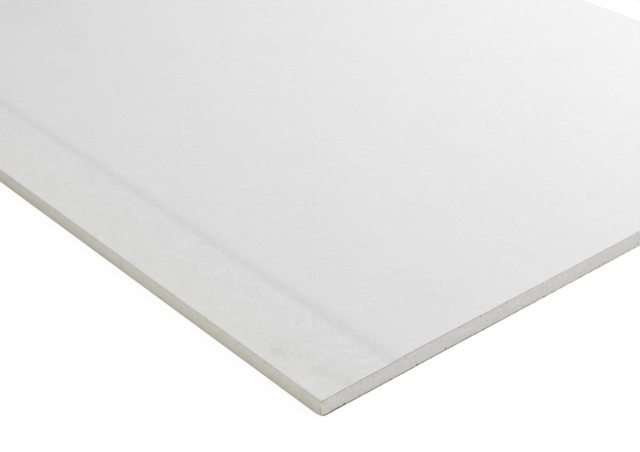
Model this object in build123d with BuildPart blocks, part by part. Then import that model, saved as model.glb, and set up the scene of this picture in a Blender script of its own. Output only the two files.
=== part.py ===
"""A drywall sheet with one tapered edge, the other three sides sawn from a wider board.

The sheet lies face up. X runs across its width, Y along its length and Z up, and the
origin is at the middle of its underside. The paper is folded round the long edge at -X.
From one cut end to the other each piece keeps one cross-section, so each is a profile in
the XZ plane, extruded along Y. The profiles run past the saw cut at +X and are split there.
"""

import os

from build123d import *

# Overall size of the sheet, in millimetres
sheet_length = 1200.0
sheet_width = 600.0
sheet_thickness = 12.5

# Papers, and how the face paper turns round the long edge and under the back
face_paper_thickness = 0.35
back_paper_thickness = 0.30
arris_radius = 0.6
fold_radius = 1.0
flange_width = 17.5
back_paper_inset = 2.0

# Recess along the folded edge, listed from the full thickness outwards: a ramp down, a
# shelf that is nearly level, and a rim that falls gently to the fold
ramp_width = 17.0
ramp_drop = 0.60
shelf_width = 23.0
shelf_drop = 0.15
rim_width = 24.0
rim_drop = 0.55

# How far the board runs past the saw cut before it is sawn
saw_margin = 20.0

# The same recess as stations across the face and heights above the floor
folded_edge = -sheet_width / 2
rim_top = folded_edge + rim_width
ramp_foot = rim_top + shelf_width
ramp_top = ramp_foot + ramp_width
ramp_foot_height = sheet_thickness - ramp_drop
rim_top_height = ramp_foot_height - shelf_drop
edge_height = rim_top_height - rim_drop

# The flange lies on top of the back paper, and the core reaches down beside it
flange_underside = back_paper_thickness
flange_end = folded_edge + flange_width

# The long edge at +X is a saw cut across all three pieces
sawn_edge = sheet_width / 2
board_end = sawn_edge + saw_margin
saw_cut = Plane.YZ.offset(sawn_edge)


# Outside of the face paper, closed along the underside of the board
with BuildSketch(Plane.XZ) as paper_outside:
    with BuildLine():
        Polyline(
            (board_end, flange_underside),
            (folded_edge, flange_underside),
            (folded_edge, edge_height),
            (rim_top, rim_top_height),
            (ramp_foot, ramp_foot_height),
            (ramp_top, sheet_thickness),
            (board_end, sheet_thickness),
            close=True,
        )
    make_face()
    fillet(paper_outside.vertices().group_by(Axis.X)[0].sort_by(Axis.Y)[-1], radius=arris_radius)
    fillet(paper_outside.vertices().group_by(Axis.X)[0].sort_by(Axis.Y)[0], radius=fold_radius)

# Inside of the same paper, one paper thickness in all round
with BuildSketch(Plane.XZ) as paper_inside:
    add(paper_outside.sketch_local)
    offset(amount=-face_paper_thickness, kind=Kind.INTERSECTION, mode=Mode.REPLACE)

# Where the flange stops, the core reaches down to the back paper
with BuildSketch(Plane.XZ) as beside_flange:
    with Locations((flange_end, flange_underside)):
        Rectangle(
            board_end - flange_end,
            face_paper_thickness,
            align=(Align.MIN, Align.MIN),
        )


# Gypsum core: fills the face paper and the space beside its flange
with BuildPart() as gypsum_core:
    with BuildSketch(Plane.XZ):
        add(paper_inside.sketch_local)
        add(beside_flange.sketch_local)
    extrude(amount=sheet_length / 2, both=True)
    split(bisect_by=saw_cut, keep=Keep.BOTTOM)

# Face paper: one strip over the face, down the folded edge and under as a flange
with BuildPart() as face_paper:
    with BuildSketch(Plane.XZ):
        add(paper_outside.sketch_local)
        add(paper_inside.sketch_local, mode=Mode.SUBTRACT)
        add(beside_flange.sketch_local, mode=Mode.SUBTRACT)
    extrude(amount=sheet_length / 2, both=True)
    split(bisect_by=saw_cut, keep=Keep.BOTTOM)

# Back paper: one flat strip that laps over the flange and stops short of the fold
with BuildPart() as back_paper:
    with BuildSketch(Plane.XZ):
        with Locations((folded_edge + back_paper_inset, 0)):
            Rectangle(
                board_end - folded_edge - back_paper_inset,
                back_paper_thickness,
                align=(Align.MIN, Align.MIN),
            )
    extrude(amount=sheet_length / 2, both=True)
    split(bisect_by=saw_cut, keep=Keep.BOTTOM)


gypsum_core.part.label = "gypsum_core"
face_paper.part.label = "face_paper"
back_paper.part.label = "back_paper"

os.makedirs("parts", exist_ok=True)
export_step(gypsum_core.part, "parts/gypsum_core.step")
export_step(face_paper.part, "parts/face_paper.step")
export_step(back_paper.part, "parts/back_paper.step")
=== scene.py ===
# %% [markdown]
# # A drywall sheet, one corner of it close to the camera
#
# The sheet is a slab of set gypsum between two papers. The face paper runs over the front,
# down one long edge and a little way under the back, and the back paper laps over that fold.
# Along the folded edge the face dips by 1.3 mm, to leave room for joint tape.
# The other three sides are saw cuts, where the papers and the gypsum show side by side.
#
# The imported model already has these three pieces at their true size. Each is rebuilt here as
# a finer surface on the same place: the taper gets its real soft curve, the papers get their
# cut edges, and the gypsum gets the grain, pits and crumbled rims of a sawn face.

import bpy
import numpy as np
from mathutils import Matrix, Vector


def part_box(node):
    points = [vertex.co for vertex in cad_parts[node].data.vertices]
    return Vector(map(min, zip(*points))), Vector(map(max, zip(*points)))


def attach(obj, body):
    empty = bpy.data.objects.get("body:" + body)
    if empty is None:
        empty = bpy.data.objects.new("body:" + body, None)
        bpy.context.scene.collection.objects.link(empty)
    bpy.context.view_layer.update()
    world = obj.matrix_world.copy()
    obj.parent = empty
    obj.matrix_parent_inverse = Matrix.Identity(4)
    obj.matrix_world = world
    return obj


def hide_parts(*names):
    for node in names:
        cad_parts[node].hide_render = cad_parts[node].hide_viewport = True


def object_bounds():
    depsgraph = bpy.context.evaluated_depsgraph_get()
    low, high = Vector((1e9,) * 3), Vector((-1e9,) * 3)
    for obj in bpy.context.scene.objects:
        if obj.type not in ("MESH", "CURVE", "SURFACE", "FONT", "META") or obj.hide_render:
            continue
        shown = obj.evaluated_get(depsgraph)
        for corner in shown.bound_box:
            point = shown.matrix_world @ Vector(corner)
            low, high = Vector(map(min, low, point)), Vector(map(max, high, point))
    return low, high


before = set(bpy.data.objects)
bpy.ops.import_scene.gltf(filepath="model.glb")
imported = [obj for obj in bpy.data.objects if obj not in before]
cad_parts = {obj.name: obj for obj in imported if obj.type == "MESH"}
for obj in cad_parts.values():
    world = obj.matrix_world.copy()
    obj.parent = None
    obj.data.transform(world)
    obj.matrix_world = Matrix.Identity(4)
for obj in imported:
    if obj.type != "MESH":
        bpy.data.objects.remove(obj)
cad_low, cad_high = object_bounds()
print("packed pieces:", sorted(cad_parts))

# %% [markdown]
# ## Sizes
#
# Every shape below is worked out in millimetres, the unit a board is sold in, and turned into
# metres only when a mesh is laid. The outer sizes and the paper thicknesses are read from the
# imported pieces, so they can't drift from them. The fold and the taper lie inside those boxes,
# so their sizes are written out. Each place on the taper is a distance in from the folded
# edge, and each drop is how far the face falls from there to the next place outwards.

# %% Sizes of the sheet, in millimetres
MM = 0.001

half_width = cad_high.x / MM
half_length = cad_high.y / MM
sheet_thickness = cad_high.z / MM
back_paper_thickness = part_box("back_paper")[1].z / MM
face_paper_thickness = sheet_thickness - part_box("gypsum_core")[1].z / MM
back_paper_inset = half_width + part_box("back_paper")[0].x / MM

fold_radius = 1.0
arris_radius = 0.6
flange_width = 17.5
flange_end = flange_width - half_width
rim_top, rim_drop = 24.0, 0.55
ramp_foot, shelf_drop = 49.0, 0.15
ramp_top, ramp_drop = 63.6, 0.60
ramp_steepest = 55.0
bend_softness = 5.0
glue_line = 0.01

print(f"sheet {2 * half_width:.0f} x {2 * half_length:.0f} x {sheet_thickness:.1f} mm")
print(f"papers {face_paper_thickness:.2f} and {back_paper_thickness:.2f} mm")

# %% [markdown]
# ## The camera
#
# The photograph looks down on one corner through a short telephoto lens, so the long lines of
# the sheet barely converge. The camera is placed from that corner. Its heading is counted
# from the width towards the length, its pitch below the horizon, and a small roll turns it
# about its own axis.

# %% Camera
near_corner = Vector((-half_width, -half_length, 0.0)) * MM
camera_from_corner = Vector((-0.3794, -0.4038, 0.4459))
camera_heading = np.radians(47.220)
camera_pitch = np.radians(30.414)
camera_roll = np.radians(-2.079)
camera_lens = 73.17


def camera_axes(heading, pitch, roll):
    """Right, up and backward axes: a level heading, tipped down by pitch, then rolled."""
    level = np.cos(pitch)
    ahead = np.array([np.cos(heading) * level, np.sin(heading) * level, -np.sin(pitch)])
    level_right = np.array([np.sin(heading), -np.cos(heading), 0.0])
    level_down = np.cross(ahead, level_right)
    right = np.cos(roll) * level_right + np.sin(roll) * level_down
    down = np.cos(roll) * level_down - np.sin(roll) * level_right
    return right, -down, -ahead


camera = bpy.data.objects.new("camera", bpy.data.cameras.new("camera"))
bpy.context.scene.collection.objects.link(camera)
axes = np.eye(4)
axes[:3, :3] = np.column_stack(camera_axes(camera_heading, camera_pitch, camera_roll))
axes[:3, 3] = near_corner + camera_from_corner
camera.matrix_world = Matrix(axes.tolist())
camera.data.lens = camera_lens
camera.data.clip_start = 0.02
bpy.context.scene.camera = camera
print(f"camera {camera_from_corner.length:.2f} m from the near corner")

# %% [markdown]
# ## Soft unevenness
#
# Paper and plaster are never quite flat. A cheap and repeatable way to say so is a sum of
# cosine ripples that run in every direction: each has its own wavelength, heading and phase
# from a seeded draw, and short ripples are lower than long ones.


# %% Ripples and easing
def ripples(across, along, shortest, longest, seed, count=24):
    """Uneven height from about -1 to 1: a sum of cosines whose wavelengths run in even ratios
    from shortest to longest, each weighted by the root of its share of the longest."""
    draw = np.random.default_rng(seed)
    lengths = np.geomspace(shortest, longest, count)
    headings = draw.uniform(0, 2 * np.pi, count)
    phases = draw.uniform(0, 2 * np.pi, count)
    height = np.zeros(np.broadcast(across, along).shape)
    for length, heading, phase in zip(lengths, headings, phases):
        travel = across * np.cos(heading) + along * np.sin(heading)
        height += np.sqrt(length / longest) * np.cos(2 * np.pi * travel / length + phase)
    usual_height = np.sqrt(0.5 * (lengths / longest).sum())
    return height / (2.5 * usual_height)


def ease(share):
    """Smooth step: 3 s squared minus 2 s cubed, with s held between 0 and 1."""
    share = np.clip(share, 0.0, 1.0)
    return share * share * (3 - 2 * share)


# %% [markdown]
# ## The section of the board
#
# Seen from its cut end, the face follows a formula of one length, the distance in from the
# folded edge. Working inwards it is a rim, a shelf that is nearly level, and a ramp up to
# full thickness. The ramp is steepest nearer its foot, and that is what draws the soft dark
# line along the photographed face.


# %% The taper as a formula
def face_height(inset):
    """Height of the face. The ramp's drop is two parabolas that meet where it is steepest.
    The rim and shelf are straight, with each bend eased by a mean over a short stretch."""
    run_in, run_out = ramp_top - ramp_steepest, ramp_steepest - ramp_foot
    steepest = 2 * ramp_drop / (run_in + run_out)
    from_top = np.clip(ramp_top - inset, 0, run_in)
    from_foot = np.clip(inset - ramp_foot, 0, run_out)
    upper = steepest * from_top**2 / (2 * run_in)
    lower = steepest * (run_out**2 - from_foot**2) / (2 * run_out)
    stretch = np.linspace(-bend_softness, bend_softness, 21)
    places = [0.0, rim_top, ramp_foot]
    drops = [rim_drop + shelf_drop, shelf_drop, 0.0]
    gentle = np.interp(np.asarray(inset)[..., None] + stretch, places, drops).mean(axis=-1)
    return sheet_thickness - upper - lower - gentle


def face_paper_section():
    """Outside of the face paper in section, as (x, z): along the flange to the fold, a quarter
    circle, up the long edge, a tighter quarter circle, then over to the sawn edge. Its points
    are dense over the ramp, which the light shows most, and beside the saw cut."""
    quarter = np.linspace(0, np.pi / 2, 8)
    low_centre = back_paper_thickness + fold_radius
    high_centre = face_height(arris_radius) - arris_radius
    flange = np.linspace(flange_width, fold_radius, 6)[:-1]
    edge = np.linspace(low_centre, high_centre, 10)[1:-1]
    dense_from, dense_to = ramp_foot - 3, ramp_top + 2
    taper = np.concatenate([
        np.linspace(arris_radius, dense_from, 26)[1:],
        np.linspace(dense_from, dense_to, 22)[1:],
    ])
    flat = np.linspace(dense_to, 2 * half_width - 8, 34)[1:]
    sawn = 2 * half_width - np.array([3.0, 1.4, 0.7, 0.3, 0.0])
    inset = np.concatenate([
        flange,
        fold_radius * (1 - np.sin(quarter)),
        np.zeros_like(edge),
        arris_radius * (1 - np.cos(quarter)),
        taper,
        flat,
        sawn,
    ])
    height = np.concatenate([
        np.full_like(flange, back_paper_thickness),
        low_centre - fold_radius * np.cos(quarter),
        edge,
        high_centre + arris_radius * np.sin(quarter),
        face_height(np.concatenate([taper, flat, sawn])),
    ])
    return np.column_stack([inset - half_width, height])


def outward(path):
    """Unit normals of a section path that goes round clockwise: the tangent turned left."""
    tangent = np.gradient(path, axis=0)
    tangent /= np.linalg.norm(tangent, axis=1, keepdims=True)
    return np.column_stack([-tangent[:, 1], tangent[:, 0]])


section = face_paper_section()
section_normal = outward(section)
section_inside = section - face_paper_thickness * section_normal
print(f"face paper: {len(section)} points round the section")

# %% [markdown]
# ## Laying a mesh
#
# Every piece is a grid of points, or two grids that are joined round their rims. Two small
# helpers number the corners of a grid's faces and the points of its rim. The next puts arrays
# of points and faces into a mesh, turns them into metres and marks the arrises that stay
# crisp. The last two join two grids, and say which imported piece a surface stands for.


# %% Mesh helpers
def cells(number, flip=False):
    """Quads of a grid of point numbers. They face the way that turns columns into rows."""
    quads = np.stack([number[:-1, :-1], number[:-1, 1:], number[1:, 1:], number[1:, :-1]], axis=-1)
    quads = quads.reshape(-1, 4)
    return quads[:, ::-1] if flip else quads


def rim_of(number):
    """Point numbers round a grid: first column, last row, last column, first row, closed."""
    return np.concatenate([number[:, 0], number[-1, 1:], number[-2::-1, -1], number[0, -2::-1]])


def lay_mesh(name, points, faces, finishes, finish_of_face=None, crisp=40.0):
    """A mesh object at the origin from points in millimetres, smooth except at crisp edges."""
    mesh = bpy.data.meshes.new(name)
    corners_of_faces = [list(map(int, face)) for face in faces]
    mesh.from_pydata((points.reshape(-1, 3) * MM).tolist(), [], corners_of_faces)
    for finish in finishes:
        mesh.materials.append(finish.material)
    if finish_of_face is not None:
        mesh.polygons.foreach_set("material_index", np.asarray(finish_of_face, dtype=np.int32))
    mesh.polygons.foreach_set("use_smooth", np.ones(len(faces), dtype=bool))
    mesh.set_sharp_from_angle(angle=np.radians(crisp))
    mesh.update()
    piece = bpy.data.objects.new(name, mesh)
    bpy.context.scene.collection.objects.link(piece)
    print(f"{name}: {len(mesh.vertices)} points, {len(faces)} faces")
    return piece


def closed_sheet(name, outside, inside, finishes):
    """Two grids of the same shape joined round their rims. The rim takes the last finish."""
    rows, columns = outside.shape[:2]
    number = np.arange(rows * columns).reshape(rows, columns)
    skin = cells(number, flip=True)
    lining = cells(number + rows * columns)
    rim = cells(np.stack([rim_of(number), rim_of(number) + rows * columns]), flip=True)
    faces = np.concatenate([skin, lining, rim])
    finish_of_face = np.repeat([0, 0, len(finishes) - 1], [len(skin), len(lining), len(rim)])
    return lay_mesh(name, np.stack([outside, inside]), faces, finishes, finish_of_face)


def stand_for(piece, node):
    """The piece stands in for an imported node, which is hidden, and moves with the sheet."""
    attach(piece, "root")
    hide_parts(node)


# %% [markdown]
# ## Writing finishes as sums
#
# A material is a small program. Written node by node it is hard to read, so an output of the
# node tree is wrapped in a class whose plus, minus and times add the Math nodes. All other
# nodes come from one method, for the materials and for the world alike.


# %% A wire that can be summed, and a node tree with one method
class Wire:
    """An output of a node tree. Arithmetic on it adds a Math node."""

    def __init__(self, owner, socket):
        self.owner = owner
        self.socket = socket

    def maths(self, operation, first, second):
        """The result of a Math node on two values or wires."""
        return self.owner.node("ShaderNodeMath", {"operation": operation}, {0: first, 1: second})

    def __add__(self, other):
        return self.maths("ADD", self, other)

    def __sub__(self, other):
        return self.maths("SUBTRACT", self, other)

    def __rsub__(self, other):
        return self.maths("SUBTRACT", other, self)

    def __mul__(self, other):
        return self.maths("MULTIPLY", self, other)

    __radd__ = __add__
    __rmul__ = __mul__


class Nodes:
    """A node tree, emptied and then filled by one method, node, which the others call."""

    def __init__(self, tree):
        self.tree = tree
        self.tree.nodes.clear()

    def node(self, kind, settings=None, sockets=None, out=0):
        """Adds a node, first its settings, then the values or wires of its sockets."""
        new = self.tree.nodes.new(kind)
        for name, value in (settings or {}).items():
            setattr(new, name, value)
        for name, value in (sockets or {}).items():
            if isinstance(value, Wire):
                self.tree.links.new(value.socket, new.inputs[name])
            else:
                new.inputs[name].default_value = value
        return Wire(self, new.outputs[out]) if len(new.outputs) else None

    def vector(self, operation, sockets, out=0):
        """The result of a Vector Math node."""
        return self.node("ShaderNodeVectorMath", {"operation": operation}, sockets, out)

    def shows_backdrop(self):
        """1 for the rays that show the backdrop, straight or in a gloss, and 0 for plain light."""
        camera, gloss, glass = (
            self.node("ShaderNodeLightPath", out=f"Is {ray} Ray")
            for ray in ("Camera", "Glossy", "Transmission")
        )
        return camera + gloss + glass

    def close(self, shader, output="ShaderNodeOutputMaterial"):
        """Wires a shader to the tree's output."""
        self.node(output, {}, {"Surface": shader})


def plain(red, green, blue):
    """A colour with full alpha from three linear values."""
    return (red, green, blue, 1.0)


# %% A finish that knows its place on the sheet
class Finish(Nodes):
    """A material whose place on the sheet is in millimetres, with the patterns it is made of."""

    def __init__(self, name):
        self.material = bpy.data.materials.new(name)
        self.material.use_nodes = True
        super().__init__(self.material.node_tree)
        metres = self.node("ShaderNodeTexCoord", out="Object")
        self.place = self.vector("SCALE", {0: metres, "Scale": 1 / MM})
        self.x, self.y, self.z = (
            self.node("ShaderNodeSeparateXYZ", {}, {0: self.place}, out=axis) for axis in "XYZ"
        )
        self.from_fold = self.x + half_width
        self.from_near_end = self.y + half_length

    def step(self, value, start, end):
        """0 at start and 1 at end, with a smooth step between; end may be below start."""
        low, high = min(start, end), max(start, end)
        smooth = {"interpolation_type": "SMOOTHSTEP"}
        ends = {1: low, 2: high, 3: float(start > end), 4: float(start < end)}
        return self.node("ShaderNodeMapRange", smooth, {0: value, **ends})

    def grain(self, size, stretch=(1.0, 1.0, 1.0), detail=2.0, roughness=0.5):
        """Noise from about -1 to 1 whose blotches are about size millimetres across, and as
        many times longer along each axis as stretch says."""
        per_mm = [1 / (size * longer) for longer in stretch]
        where = self.vector("MULTIPLY", {0: self.place, 1: per_mm})
        sockets = {"Vector": where, "Scale": 1.0, "Detail": detail, "Roughness": roughness}
        return (self.node("ShaderNodeTexNoise", {"normalize": True}, sockets) - 0.5) * 2.0

    def away(self, centre, per_mm):
        """Distance from a centre (from the fold, from the near end, height), with each axis
        first multiplied by its own factor: 0 leaves an axis out."""
        offset = (half_width - centre[0], half_length - centre[1], -centre[2])
        moved = self.vector("ADD", {0: self.place, 1: offset})
        shrunk = self.vector("MULTIPLY", {0: moved, 1: per_mm})
        return self.vector("LENGTH", {0: shrunk}, out="Value")

    def spot_on_face(self, from_fold, from_near_end, size):
        """1 in the middle of a soft round spot on the plan of the sheet, 0 at its size."""
        return self.step(self.away((from_fold, from_near_end, 0), (1, 1, 0)), size, 0.0)

    def spot_on_cut(self, from_fold, height, size):
        """1 in the middle of a soft round spot on a cut end, near or far, 0 at its size."""
        return self.step(self.away((from_fold, 0, height), (1, 0, 1)), size, 0.0)

    def near_corner(self, across, along, up):
        """1 at the bottom of the near folded corner, 0 outside an ellipsoid of that reach."""
        return self.step(self.away((0, 0, 0), (1 / across, 1 / along, 1 / up)), 1.0, 0.3)

    def tint(self, share, one, other):
        """Colour that goes from one to other as share goes from 0 to 1."""
        sockets = {0: share, 6: one, 7: other}
        return self.node("ShaderNodeMix", {"data_type": "RGBA"}, sockets, out=2)

    def shaded(self, colour, brightness):
        """The colour times a brightness."""
        return self.vector("SCALE", {0: colour, "Scale": brightness})

    def surface(self, colour, roughness, relief, depth, specular):
        """Closes the finish as a Principled surface, with the relief as a bump in millimetres."""
        bump = self.node("ShaderNodeBump", {}, {"Height": relief, "Distance": depth * MM})
        look = {"Base Color": colour, "Roughness": roughness, "Specular IOR Level": specular}
        self.close(self.node("ShaderNodeBsdfPrincipled", {}, {**look, "Normal": bump}))
        print(f"{self.material.name} finish: {len(self.tree.nodes)} nodes")


# %% [markdown]
# ## Face paper finish
#
# The face is a pale, slightly cool paper. It is a felt of short fibres, so its tone is uneven
# at about a millimetre, with broader clouds on top. A painted sheen lightens its lip along the
# near cut. Where the paper turns down over the long edge it is warmer and darker, with faint
# pinkish patches, a foot darkened by painted shade and a worn end. Most of its soft smudges
# sit by the near corner, where the sheet was handled, and a few broad ones lie further along.

# %% Face paper
# Each smudge is (distance from the fold, distance from the near end, size, how much darker).
# Where the last number is below 0, the place is rubbed and lighter.
smudges = [
    (11.0, 48.5, 9.0, 0.070),
    (19.0, 53.0, 15.0, 0.030),
    (14.5, 40.5, 9.0, 0.045),
    (21.5, 36.0, 9.0, 0.045),
    (17.5, 22.0, 7.0, 0.042),
    (20.0, 18.0, 16.0, 0.045),
    (34.5, 48.0, 11.0, 0.045),
    (24.0, 4.0, 10.0, 0.045),
    (35.0, 10.5, 8.0, 0.030),
    (56.5, 45.5, 10.0, 0.035),
    (7.5, 31.5, 9.0, -0.020),
    (6.0, 18.5, 9.0, -0.020),
    (56.0, 9.0, 14.0, -0.015),
    (158.5, 487.0, 11.0, 0.040),
    (168.0, 513.0, 35.0, 0.020),
    (175.0, 600.0, 80.0, 0.025),
]


def face_paper_finish():
    """Pale paper on the face, beige on the folded edge and flange. The colour is a chain of
    tints, each laid on by its own mask, times a brightness: 1 plus felt and mottle, which are
    stronger over the taper, plus the fibres of the folded edge, minus its darker stretches and
    the smudges. Two tints are painted light: a sheen along the lip by the near cut, and shade
    towards the foot of the folded edge."""
    paper = Finish("face_paper")
    felt = paper.grain(1.6, (1.0, 1.2, 1.0), detail=2.0, roughness=0.8)
    mottle = paper.grain(8.0, (1.0, 1.2, 1.0), detail=3.0, roughness=0.85)
    fibres = paper.grain(1.2, (0.7, 1.6, 0.7), detail=2.0, roughness=0.8)
    cloud = paper.grain(60.0, detail=3.0, roughness=0.6)
    on_edge = paper.step(paper.from_fold, 0.5, 0.1)
    painted_shade_low_down = paper.step(paper.z, 11.0, 1.0)
    painted_sheen_by_cut = paper.step(paper.from_near_end, 1.8, 0.3)
    by_fold = paper.step(paper.from_fold, 40.0, 6.0)
    pinkish = paper.step(paper.grain(14.0, (1.0, 1.2, 0.6)), 0.15, 0.6)
    scuffed = on_edge * paper.step(paper.from_near_end, 1.5, 0.4) * paper.step(paper.z, 9.0, 6.0)
    rubbed = paper.spot_on_face(0.5, 0.0, 2.6) * paper.step(paper.z, 9.5, 10.5)

    face = paper.tint(by_fold, plain(0.770, 0.772, 0.771), plain(0.788, 0.787, 0.778))
    face = paper.tint(paper.step(paper.from_fold, 4.5, 1.0), face, plain(0.805, 0.799, 0.766))
    # Painted sheen: the face is lighter and warmer along its lip by the near cut.
    face = paper.tint(painted_sheen_by_cut, face, plain(0.805, 0.792, 0.775))
    # Painted shade: the beige darkens towards the foot of the folded edge, most in the lowest 3 mm.
    beige = paper.tint(painted_shade_low_down, plain(0.788, 0.765, 0.692), plain(0.776, 0.735, 0.637))
    beige = paper.tint(0.8 * paper.step(paper.z, 2.8, 1.4), beige, plain(0.660, 0.620, 0.530))
    beige = paper.tint(0.8 * paper.step(paper.z, 1.2, 0.5), beige, plain(0.600, 0.560, 0.480))
    beige = paper.tint(0.8 * pinkish, beige, plain(0.780, 0.705, 0.640))
    colour = paper.tint(on_edge, face, beige)
    colour = paper.tint(0.8 * scuffed, colour, plain(0.470, 0.400, 0.330))
    colour = paper.tint(0.85 * paper.near_corner(3.0, 3.0, 2.2), colour, plain(0.380, 0.290, 0.230))
    colour = paper.tint(0.8 * rubbed, colour, plain(0.600, 0.520, 0.450))

    dark = 0.012 * paper.step(cloud, -0.6, 0.6)
    for from_fold, from_near_end, size, strength in smudges:
        dark = dark + strength * paper.spot_on_face(from_fold, from_near_end, size)
    dark = dark + 0.09 * on_edge * paper.step(paper.from_near_end, 150.0, 330.0)
    dark = dark + 0.045 * on_edge * paper.step(paper.from_near_end, 30.0, 3.0)
    rough = 1.0 + 0.6 * paper.step(paper.from_fold, 75.0, 40.0)
    bright = 1.0 + (0.080 * felt + 0.045 * mottle) * rough + 0.18 * on_edge * fibres - dark
    colour = paper.shaded(colour, bright)
    relief = 0.6 * felt + 0.4 * mottle
    paper.surface(colour, 0.82 + 0.05 * mottle, relief, depth=0.03, specular=0.05)
    return paper


face_paper = face_paper_finish()

# %% [markdown]
# ## Cut paper
#
# Where the saw went through, the inner plies show. They are made from recycled fibre and look
# grey-brown next to the pale liner. Streaks of noise, long in the plane of the sheet and
# short across it, read as torn fibre.


# %% Cut edges of the papers
def face_ply_finish():
    """Torn fibre in short streaks, darkest under the board, partly as painted contact shadow. It
    is pinkish at the fold, with a painted highlight where it stands vertical there, and covered
    by plaster dust further along the cut end."""
    ply = Finish("face_ply")
    streaks = ply.step(ply.grain(1.6, (2.0, 2.0, 0.4), detail=3.0, roughness=0.6), -0.5, 0.6)
    patches = ply.step(ply.grain(5.0, detail=1.0), 0.1, 0.6)
    colour = ply.tint(streaks, plain(0.101, 0.078, 0.058), plain(0.234, 0.195, 0.156))
    colour = ply.tint(0.6 * patches, colour, plain(0.406, 0.359, 0.312))
    dusty = ply.step(ply.from_fold + 12.0 * ply.grain(9.0, detail=2.0), 60.0, 210.0)
    colour = ply.tint(dusty, colour, plain(0.390, 0.367, 0.335))
    # Partly painted contact shadow: the ply is darkest near the floor.
    colour = ply.tint(0.8 * ply.step(ply.z, 2.0, 0.8), colour, plain(0.086, 0.066, 0.051))
    colour = ply.tint(0.9 * ply.step(ply.from_fold, 3.0, 1.2), colour, plain(0.437, 0.367, 0.304))
    # Painted highlight: the ply is pale where it stands vertical at the fold.
    painted_highlight_upright = ply.step(ply.from_fold, 0.8, 0.5) * ply.step(ply.z, 4.5, 7.0)
    painted_highlight_upright = painted_highlight_upright * ply.step(ply.z, 11.3, 10.6)
    colour = ply.tint(0.9 * painted_highlight_upright, colour, plain(0.640, 0.616, 0.554))
    ply.surface(colour, 0.9, streaks, depth=0.05, specular=0.1)
    return ply


def back_ply_finish():
    """The same torn fibre, dark brown and darkened further as painted contact shadow, with a
    near-black spot of painted shadow where the flange ends, and dusty further along the cut end."""
    ply = Finish("back_ply")
    streaks = ply.step(ply.grain(1.6, (2.0, 2.0, 0.4), detail=3.0, roughness=0.6), -0.5, 0.6)
    # Brown fibre, made darker as painted contact shadow along the floor.
    colour = ply.tint(streaks, plain(0.047, 0.033, 0.023), plain(0.117, 0.090, 0.066))
    dusty = ply.step(ply.from_fold + 12.0 * ply.grain(9.0, detail=2.0), 110.0, 220.0)
    colour = ply.tint(dusty, colour, plain(0.257, 0.246, 0.226))
    # Painted shadow: a near-black spot where the flange ends.
    colour = ply.tint(ply.spot_on_cut(17.5, 0.3, 2.2), colour, plain(0.01, 0.008, 0.006))
    ply.surface(colour, 0.9, streaks, depth=0.05, specular=0.1)
    return ply


face_ply = face_ply_finish()
back_ply = back_ply_finish()

# %% [markdown]
# ## Back paper finish
#
# The back liner is plain recycled paper, grey-brown, with darker and lighter fibres that can
# be seen one by one from close up.


# %% Back paper
def back_paper_finish():
    """Recycled grey-brown paper with long fibres, flecks and cloudy formation."""
    liner = Finish("back_paper")
    fibres = liner.grain(0.8, (1.0, 5.0, 1.0), detail=3.0, roughness=0.6)
    flecks = liner.grain(1.4, (1.0, 2.0, 1.0), detail=1.0)
    cloud = liner.grain(30.0, detail=3.0)
    paler = liner.step(fibres, -0.8, 0.8)
    colour = liner.tint(paler, plain(0.36, 0.315, 0.25), plain(0.50, 0.445, 0.365))
    bright = 1.0 + 0.06 * cloud - 0.25 * liner.step(flecks, 0.45, 0.7)
    liner.surface(liner.shaded(colour, bright), 0.88, fibres, depth=0.03, specular=0.1)
    return liner


back_paper = back_paper_finish()

# %% [markdown]
# ## Gypsum finish
#
# Sawn gypsum is a matt, chalky grey-white with a fine sugary grain, greyer blotches where the
# foam was denser, and a slightly warm tone here and there. Close to the fold it is pinkish and
# rubbed. Along the foot of a cut end, brown fibre smears it, darkened further as painted
# contact shadow, in a thicker streak some 3 to 20 mm from the fold, with one near-black spot
# of painted shadow where the flange ends. Painted shade also darkens the core towards its
# foot and away from the fold.


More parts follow.
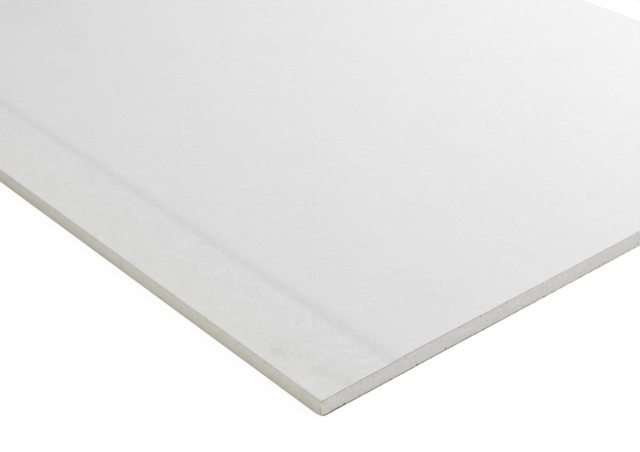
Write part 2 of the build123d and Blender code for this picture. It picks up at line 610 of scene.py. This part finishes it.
# %% Gypsum
def gypsum_finish():
    """Chalky grey-white with fine grain, cool and warm blotches and tiny dark pores, tinted by
    masks for the pinkish and rubbed places and the smear; the smear is partly painted contact
    shadow, and a near-black spot is painted shadow. Painted shade makes it darker towards its
    foot and with distance from the fold, and a little lighter close to the fold."""
    core = Finish("gypsum")
    sugar = core.grain(1.8, detail=3.0, roughness=0.75)
    blotch = core.grain(9.0, (1.6, 1.6, 0.8), detail=3.0, roughness=0.75)
    warm = core.grain(11.0, (1.5, 1.5, 0.8), detail=2.0)
    pores = core.step(core.grain(1.5, detail=1.0), 0.50, 0.75)
    cool = core.step(blotch, -0.6, 0.6)
    pinkish = core.near_corner(6.0, 6.0, 9.0) + 0.6 * core.spot_on_cut(13.0, 2.6, 3.5)
    rubbed = core.spot_on_cut(1.2, 10.6, 2.9)
    thicker = core.step(core.from_fold, 3.0, 9.0) * core.step(core.from_fold, 20.0, 14.0)
    # Brown fibre smear, partly painted contact shadow along the foot.
    height_in_smear_and_shadow = core.z + 0.3 * core.grain(3.0) - 0.5 * thicker
    smear_and_painted_shadow = core.step(height_in_smear_and_shadow, 1.15, 0.4) * core.step(core.from_fold, 230.0, 120.0)
    # Painted shadow: a near-black spot where the flange ends.
    painted_shadow_spot = core.spot_on_cut(17.5, 0.6, 1.9)

    colour = core.tint(cool, plain(0.573, 0.558, 0.530), plain(0.507, 0.509, 0.491))
    colour = core.tint(0.5 * core.step(warm, 0.1, 0.7), colour, plain(0.558, 0.521, 0.490))
    colour = core.tint(0.8 * pinkish, colour, plain(0.569, 0.499, 0.445))
    colour = core.tint(0.8 * rubbed, colour, plain(0.430, 0.370, 0.315))
    colour = core.tint(0.68 * smear_and_painted_shadow, colour, plain(0.21, 0.168, 0.129))
    colour = core.tint(0.8 * painted_shadow_spot, colour, plain(0.06, 0.048, 0.040))

    # Painted shade: darker with distance from the fold, and a little lighter close to it.
    painted_shading = 0.045 * core.step(core.from_fold, 120.0, 330.0)
    painted_shading = painted_shading - 0.02 * core.step(core.from_fold, 25.0, 8.0)
    bright = 1.0 + 0.11 * sugar + 0.04 * blotch - 0.12 * pores
    # Painted shade: darker towards the foot.
    bright = bright - 0.045 * core.step(core.z, 9.0, 1.0) - painted_shading
    core.surface(core.shaded(colour, bright), 0.92, sugar - pores, depth=0.08, specular=0.1)
    return core


gypsum = gypsum_finish()

# %% [markdown]
# ## What the saw leaves
#
# A saw never runs quite true. Its path wanders slowly, and each paper frays by its own small
# amount, so the three layers of a cut side don't end on one line.


# %% The wandering cut
cut_wander = 0.18
paper_fray = 0.10
trim_reach = 2.0


def saw_wander(along):
    """How far the cut lies inside the true side, in slow ripples along the saw's path."""
    return cut_wander * (1 + ripples(along, 0 * along, 40, 200, seed=7))


def cut_back(along, seed):
    """How far a paper ends short of the true side: the saw's wander plus a fine fray."""
    fray = paper_fray * (1 + ripples(along, 0 * along, 1.5, 9, seed))
    return saw_wander(along) + fray


def trimmed(x, y, seed):
    """Plan of a paper with its points drawn in by cut_back times a quick fall with distance
    from each sawn side. Along the saw's path come the near end, the long edge, the far end."""
    near_way = x + half_width
    side_way = 2 * half_width + y + half_length
    far_way = 3 * half_width + 2 * half_length - x
    end_pull = np.exp(-(half_length - abs(y)) / trim_reach)
    side_pull = np.exp(-(half_width - x) / trim_reach)
    trimmed_x = x - side_pull * cut_back(side_way, seed)
    trimmed_y = y - np.sign(y) * end_pull * cut_back(np.where(y < 0, near_way, far_way), seed)
    return trimmed_x, trimmed_y


# %% [markdown]
# ## A knocked corner
#
# The corner nearest the camera has been knocked: its lower end is blunt, and the worn paper
# there is brownish. The papers and the gypsum go through the same function, so they give way
# together.


# %% The knocked corner
knock_reach = [3.5, 4.0, 4.0]
knock_move = [0.30, 0.30, 0.70]


def blunted(points):
    """Points near the bottom of the near folded corner, moved inwards and up. The move is a
    smooth fall with distance from the corner, measured on a squashed ball."""
    from_corner = points - np.array([-half_width, -half_length, 0.0])
    away = np.linalg.norm(from_corner / knock_reach, axis=-1, keepdims=True)
    return points + ease(1 - away) * knock_move


# %% [markdown]
# ## The face paper as a surface
#
# The section is carried along the length through a list of stations, close together near the
# cut ends and along the part the camera sees. All unevenness goes inwards from the packed
# surface, so the sheet keeps its size.

# %% Face paper sheet
near_cut = np.array([0.0, 0.3, 0.7, 1.4, 3.0, 6.0])
seen_part = np.arange(10.0, 660.0, 4.0)
hidden_part = np.arange(668.0, 2 * half_length - 9.0, 12.0)
far_cut = 2 * half_length - near_cut[::-1]
stations = np.concatenate([near_cut, seen_part, hidden_part, far_cut]) - half_length


def face_paper_sheet():
    """Outside: section point (i) at station (j), sunk along its normal by a fine unevenness
    that nearly dies out at the cuts. The flange, which lies on the back paper, isn't sunk.
    Inside: the same grid, one paper thickness in."""
    x = section[:, :1] + 0 * stations
    z = section[:, 1:] + 0 * stations
    y = stations + 0 * x
    round_section = x + 2 * z
    uneven = 0.04 * (1 + ripples(round_section, y, 12, 90, seed=3))
    uneven += 0.01 * (1 + ripples(round_section, y, 5, 12, seed=4))
    from_cut = np.minimum(half_length - abs(y), half_width - x)
    sunk = np.maximum(uneven, 0.0) * ease(0.15 + from_cut / 6.0)
    normal_x, normal_z = section_normal[:, :1], section_normal[:, 1:]
    sunk = np.where(normal_z < -0.5, 0.0, sunk)
    plan_x, plan_y = trimmed(x, y, seed=11)
    outside, inside = (
        np.stack([plan_x - depth * normal_x, plan_y, z - depth * normal_z], axis=-1)
        for depth in (sunk, face_paper_thickness)
    )
    finishes = [face_paper, face_ply]
    return closed_sheet("face_paper_sheet", blunted(outside), blunted(inside), finishes)


stand_for(face_paper_sheet(), "face_paper")

# %% [markdown]
# ## The gypsum core
#
# The three sawn sides are one band that follows the saw: along the near end, up the sawn long
# edge and back along the far end. Rows climb from the back paper to the face paper, and every
# point is pushed inwards by the grain, by rims that crumble against the papers, and by pits.

# %% Pits in the sawn band
# Each is (distance along the saw's path, height above the floor, radius, depth).
photographed_pits = [
    (29.0, 9.1, 0.45, 0.35),
    (37.5, 9.6, 0.45, 0.35),
    (28.6, 0.9, 0.60, 0.50),
    (98.0, 1.1, 0.60, 0.70),
    (74.0, 0.7, 0.80, 0.50),
    (126.5, 11.9, 0.70, 0.90),
    (149.6, 11.9, 0.60, 0.70),
    (195.0, 11.9, 0.60, 0.70),
    (186.0, 1.0, 0.60, 0.50),
    (167.0, 1.4, 0.60, 0.50),
    (283.0, 3.2, 0.60, 0.80),
    (273.0, 5.7, 0.50, 0.50),
    (242.0, 1.0, 0.90, 0.35),
    (246.5, 1.2, 1.10, 0.50),
]
pit_count = 60
scatter = np.random.default_rng(41)
other_pits = np.column_stack([
    scatter.uniform(330.0, 4 * half_width + 2 * half_length, pit_count),
    scatter.uniform(0.8, 11.8, pit_count),
    scatter.uniform(0.5, 1.2, pit_count),
    scatter.uniform(0.3, 0.8, pit_count),
])
print(f"pits: {len(photographed_pits)} seen in the photograph, {pit_count} scattered")


# %% Gypsum block
band_rows = 24
side_points = 801
rim_reach = 0.35
closing_margin = 4.0


def sawn_relief(along, z, low, high):
    """Depth of the sawn surface: the saw's wander, broad and fine ripples, a rim that crumbles
    beside either paper, and at each pit a bowl, its depth times a smooth fall with distance."""
    depth = saw_wander(along)
    depth += 0.08 * (1 + ripples(along, z, 12, 60, seed=21))
    depth += 0.05 * (1 + ripples(along, 1.3 * z, 1.2, 5, seed=22))
    loose = 0.5 + 0.5 * ripples(along, 0 * along, 1.5, 9, seed=23)
    by_face_paper = np.exp(-(((high - z) / rim_reach) ** 2))
    by_back_paper = np.exp(-(((z - low) / rim_reach) ** 2))
    depth += 0.25 * loose * (by_face_paper + by_back_paper)
    for where, height, radius, deep in [*photographed_pits, *other_pits]:
        depth += deep * ease(1.25 - np.hypot(along - where, z - height) / radius)
    return depth


def core_floor_and_roof(x):
    """Lowest and highest gypsum at x, a glue line inside the papers."""
    turn = int(np.argmin(section_inside[:, 0]))
    roof = section_inside[turn:]
    floor = section_inside[turn::-1]
    high = np.interp(x, roof[:, 0], roof[:, 1]) - glue_line
    low = np.interp(x, floor[:, 0], floor[:, 1]) + glue_line
    beside_flange = back_paper_thickness + glue_line
    return np.where(x > flange_end, beside_flange, low), high


def gypsum_block():
    """The band's points are plan place minus outward way times depth; at the two sawn corners
    the way is the sum of both sides'. Strips from near end to far end close top and bottom,
    and one face with many corners closes the last few millimetres before the sawn side."""
    folded_side = face_paper_thickness + glue_line - half_width
    past_fold = 2.0 - half_width
    end_x = np.concatenate([
        np.linspace(folded_side, past_fold, 14)[:-1],
        np.linspace(past_fold, 0.0, 600)[:-1],
        np.linspace(0.0, half_width, 340),
        [flange_end - 0.01, flange_end + 0.01],
    ])
    end_x = np.sort(end_x)
    end_y = np.full_like(end_x, half_length)
    side_y = np.linspace(-half_length, half_length, side_points)[1:-1]
    plan_x = np.concatenate([end_x, np.full_like(side_y, half_width), end_x[::-1]])
    plan_y = np.concatenate([-end_y, side_y, end_y])
    way_x = (plan_x >= half_width).astype(float)
    way_y = np.sign(plan_y) * (abs(plan_y) >= half_length)
    path = np.concatenate([[0.0], np.cumsum(np.hypot(np.diff(plan_x), np.diff(plan_y)))])
    low, high = core_floor_and_roof(plan_x)

    even = np.linspace(0, 1, band_rows)
    share = 0.65 * even + 0.35 * ease(even)
    z = low[:, None] + share * (high - low)[:, None]
    along = path[:, None] + 0 * z
    depth = sawn_relief(along, z, low[:, None], high[:, None])
    points = np.stack([
        plan_x[:, None] - way_x[:, None] * depth,
        plan_y[:, None] - way_y[:, None] * depth,
        z,
    ], axis=-1)

    number = np.arange(z.size).reshape(z.shape)
    last_strip = int(np.searchsorted(end_x, half_width - closing_margin))
    faces = [*cells(number, flip=True), *cells(np.stack([number[0], number[-1]]))]
    for row, flip in ((0, True), (-1, False)):
        strips = np.stack([number[: last_strip + 1, row], number[::-1][: last_strip + 1, row]])
        faces += [*cells(strips, flip=flip)]
        rest = number[last_strip : len(number) - last_strip, row]
        faces.append(rest[::-1] if flip else rest)
    return lay_mesh("gypsum_block", blunted(points), faces, [gypsum], crisp=60.0)


stand_for(gypsum_block(), "gypsum_core")

# %% [markdown]
# ## The back paper
#
# A flat strip under everything, so it is what lies on the floor. Only its sawn sides need any
# detail, and they wander with the saw.


# %% Back paper sheet
def back_paper_sheet():
    """Two flat grids, the side on the floor and the side glued to the core."""
    x = np.concatenate([
        np.linspace(back_paper_inset - half_width, 0, 400)[:-1],
        np.linspace(0, half_width - 6, 200)[:-1],
        half_width - near_cut[::-1],
    ])
    end = np.concatenate([near_cut, [40.0]])
    middle = np.arange(60.0, 2 * half_length - 50, 20.0)
    y = np.concatenate([end, middle, 2 * half_length - end[::-1]]) - half_length
    plan_x, plan_y = trimmed(x[:, None] + 0 * y, y + 0 * x[:, None], seed=17)
    top = np.full_like(plan_x, back_paper_thickness - glue_line)
    over = np.stack([plan_x, plan_y, top], axis=-1)
    under = over * [1, 1, 0]
    return closed_sheet("back_paper_sheet", blunted(over), blunted(under), [back_paper, back_ply])


stand_for(back_paper_sheet(), "back_paper")

# %% [markdown]
# ## Floor and light
#
# The sheet lies on a white floor under soft light. The world fills in from all round, and a
# lamp 1.5 m up beside the sawn corner of the near end gives most of the light. A broad lamp
# stands far off at the right and fairly low, so its light rakes over the face, and the ramp of
# the taper, which leans away from it, shows as a darker line. Two weak small lamps close to
# the floor lift the folded long edge and the far cut end, which the raking lamp doesn't reach.
# No lamp is so strong that the face or the sawn side turned towards it loses its grain in
# plain white. The floor shows white to the camera but keeps a trace of the sheet's shadow.


# %% Floor
def floor_finish():
    """A matt white that the camera sees as a white glow, less the light that is kept from it."""
    white = Finish("floor")
    matt = white.node("ShaderNodeBsdfDiffuse", {}, {"Color": plain(0.85, 0.85, 0.85)})
    faint = white.node("ShaderNodeBsdfDiffuse", {}, {"Color": plain(0.07, 0.07, 0.07)})
    glow = white.node("ShaderNodeEmission", {}, {"Color": plain(1, 1, 1), "Strength": 0.955})
    shown = white.node("ShaderNodeAddShader", {}, {0: faint, 1: glow})
    mixed = white.node("ShaderNodeMixShader", {}, {0: white.shows_backdrop(), 1: matt, 2: shown})
    white.close(mixed)
    return white


floor_reach = 12000.0
floor_gap = 0.02
floor_corners = np.array([[-1, -1, 0], [1, -1, 0], [1, 1, 0], [-1, 1, 0]]) * floor_reach
lay_mesh("floor", floor_corners - [0, 0, floor_gap], [[0, 1, 2, 3]], [floor_finish()])


# %% World and lamps
def light_world(strength):
    """White where it is seen, and a plain dimmer white for everything that it lights."""
    world = bpy.data.worlds.new("studio")
    bpy.context.scene.world = world
    world.use_nodes = True
    studio = Nodes(world.node_tree)
    fill, white = (
        studio.node("ShaderNodeBackground", {}, {"Color": plain(1, 1, 1), "Strength": level})
        for level in (strength, 1.0)
    )
    mixed = studio.node("ShaderNodeMixShader", {}, {0: studio.shows_backdrop(), 1: fill, 2: white})
    studio.close(mixed, "ShaderNodeOutputWorld")


def stand_lamp(name, from_corner, aim_from_corner, size, power):
    """A square soft lamp, placed and aimed in metres from the near corner of the sheet."""
    lamp = bpy.data.objects.new(name, bpy.data.lights.new(name, "AREA"))
    lamp.data.size = size
    lamp.data.energy = power
    lamp.location = near_corner + Vector(from_corner)
    ahead = Vector(aim_from_corner) - Vector(from_corner)
    lamp.rotation_euler = ahead.to_track_quat("-Z", "Y").to_euler()
    bpy.context.scene.collection.objects.link(lamp)


light_world(0.25)
stand_lamp("raking_lamp", (6.83, -3.58, 1.34), (0.3, 0.6, 0.0), 2.6, 695.0)
stand_lamp("top_lamp", (0.87, 0.09, 1.54), (0.87, 0.09, 0.0), 0.5, 18.1)
stand_lamp("edge_fill", (-2.6, 0.6, 0.12), (0.0, 0.3, 0.0), 0.2, 19.0)
stand_lamp("far_end_fill", (0.3, 3.8, 0.12), (0.3, 1.2, 0.0), 0.2, 22.0)
bpy.context.scene.view_settings.view_transform = "Standard"
print("lamps:", sorted(lamp.name for lamp in bpy.data.lights))
